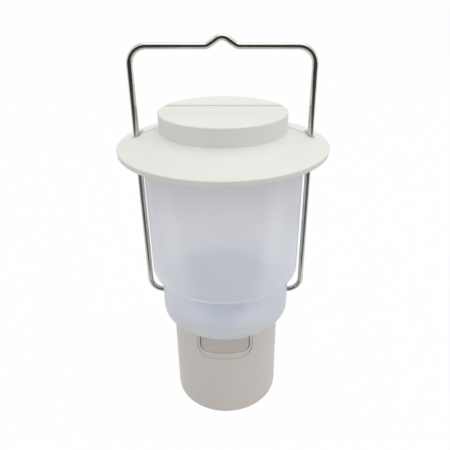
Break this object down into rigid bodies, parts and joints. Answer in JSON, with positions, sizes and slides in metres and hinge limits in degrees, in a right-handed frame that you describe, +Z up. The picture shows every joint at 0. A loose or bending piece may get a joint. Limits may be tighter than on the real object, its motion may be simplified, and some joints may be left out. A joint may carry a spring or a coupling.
{
  "type": "camping lantern",
  "caption": "Portable camping lantern: hat-shaped top over a frosted cylindrical shade on a can-like base, with a wire bail, a push button and a charging port.",
  "frame": {"origin": "middle of the foot pad's lower face, where the lantern stands", "axes": "+Z up along the lantern's axis, the button at the front (-Y), the charging port at the rear (+Y), the bail's pivot along X"},
  "size_m": [0.1198, 0.1198, 0.2375],
  "materials": {
    "base_plastic": "warm grey satin moulding",
    "foot_rubber": "matt black rubber",
    "seal_rubber": "milky silicone",
    "hat_plastic": "off-white fine satin",
    "shade_frost": "frosted translucent",
    "wire_steel": "polished stainless wire",
    "bush_plastic": "natural acetal",
    "inner_plastic": "black moulding",
    "deck_plastic": "blue-white moulding",
    "opal_plastic": "opal",
    "cell_wrap": "blue shrink wrap",
    "nickel_strip": "plain strip",
    "foam": "soft foam",
    "board": "green solder mask",
    "led_board_white": "white solder mask",
    "switch_black": "plain",
    "socket_steel": "plain plated",
    "screw_steel": "zinc plated",
    "lead_cover": "red and black insulation",
    "led_chip": "yellow phosphor"
  },
  "bodies": {
    "lantern": {"base_housing": "base_plastic", "base_cover": "base_plastic", "foot_pad": "foot_rubber", "cover_screws": "screw_steel", "battery_cells": "cell_wrap", "battery_cradle": "inner_plastic", "cell_link": "nickel_strip", "cell_tabs": "nickel_strip", "battery_pad": "foam", "board_screws": "screw_steel", "control_board": "board", "tact_switch": "switch_black", "charge_board": "board", "charge_socket": "socket_steel", "flap_pin": "screw_steel", "led_leads": "lead_cover", "battery_leads": "lead_cover", "diffuser": "shade_frost", "pivot_bushes": "bush_plastic", "collar_seal": "seal_rubber", "light_deck": "deck_plastic", "deck_screws": "screw_steel", "led_board": "led_board_white", "leds": "led_chip", "led_cover": "opal_plastic", "top_seal": "seal_rubber", "reflector": "deck_plastic", "brim": "hat_plastic", "top_cap": "hat_plastic", "top_screws": "screw_steel"},
    "bail": {"bail_handle": "wire_steel"},
    "button": {"power_button": "base_plastic", "switch_plunger": "switch_black"},
    "flap": {"port_flap": "base_plastic"}
  },
  "joints": [
    {"name": "bail_rock", "type": "hinge", "parent": "lantern", "child": "bail", "pos_m": [0, 0, 0.078], "axis": [-1, 0, 0], "range_deg": [0, 5.5]},
    {"name": "button_press", "type": "slide", "parent": "lantern", "child": "button", "axis": [0, 1, 0], "range_m": [0, 0.0009], "stiffness_N_per_m": 2500},
    {"name": "flap_hinge", "type": "hinge", "parent": "lantern", "child": "flap", "pos_m": [-0.009, 0.0319, 0.03], "axis": [0, 0, 1], "range_deg": [0, 95]}
  ]
}
